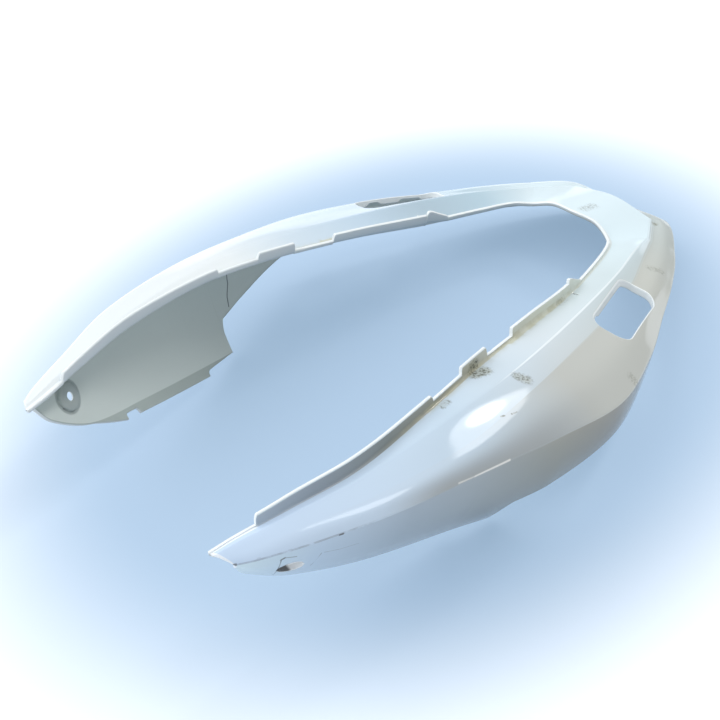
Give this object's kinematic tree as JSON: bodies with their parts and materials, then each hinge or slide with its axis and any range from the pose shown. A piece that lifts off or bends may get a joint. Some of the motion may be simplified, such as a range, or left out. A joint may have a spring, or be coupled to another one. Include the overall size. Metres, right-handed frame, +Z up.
{
  "type": "motorcycle tail fairing",
  "caption": "U-shaped moulded tail fairing that wraps the back of a motorcycle seat, with a raised seat lip, grab rail holes, screw cups and arched side panels.",
  "frame": {"origin": "middle of the bounding box in plan, at the level of the panel corners and tail edge it lies on", "axes": "+X to the front tips of the arms, +Y to the left arm, +Z up; the XZ plane is the mirror plane"},
  "size_m": [0.6692, 0.3978, 0.1448],
  "materials": {
    "shell": "glossy white moulding outside, plain moulded surface inside"
  },
  "bodies": {
    "root": {"tail_fairing": "shell"}
  },
  "joints": []
}
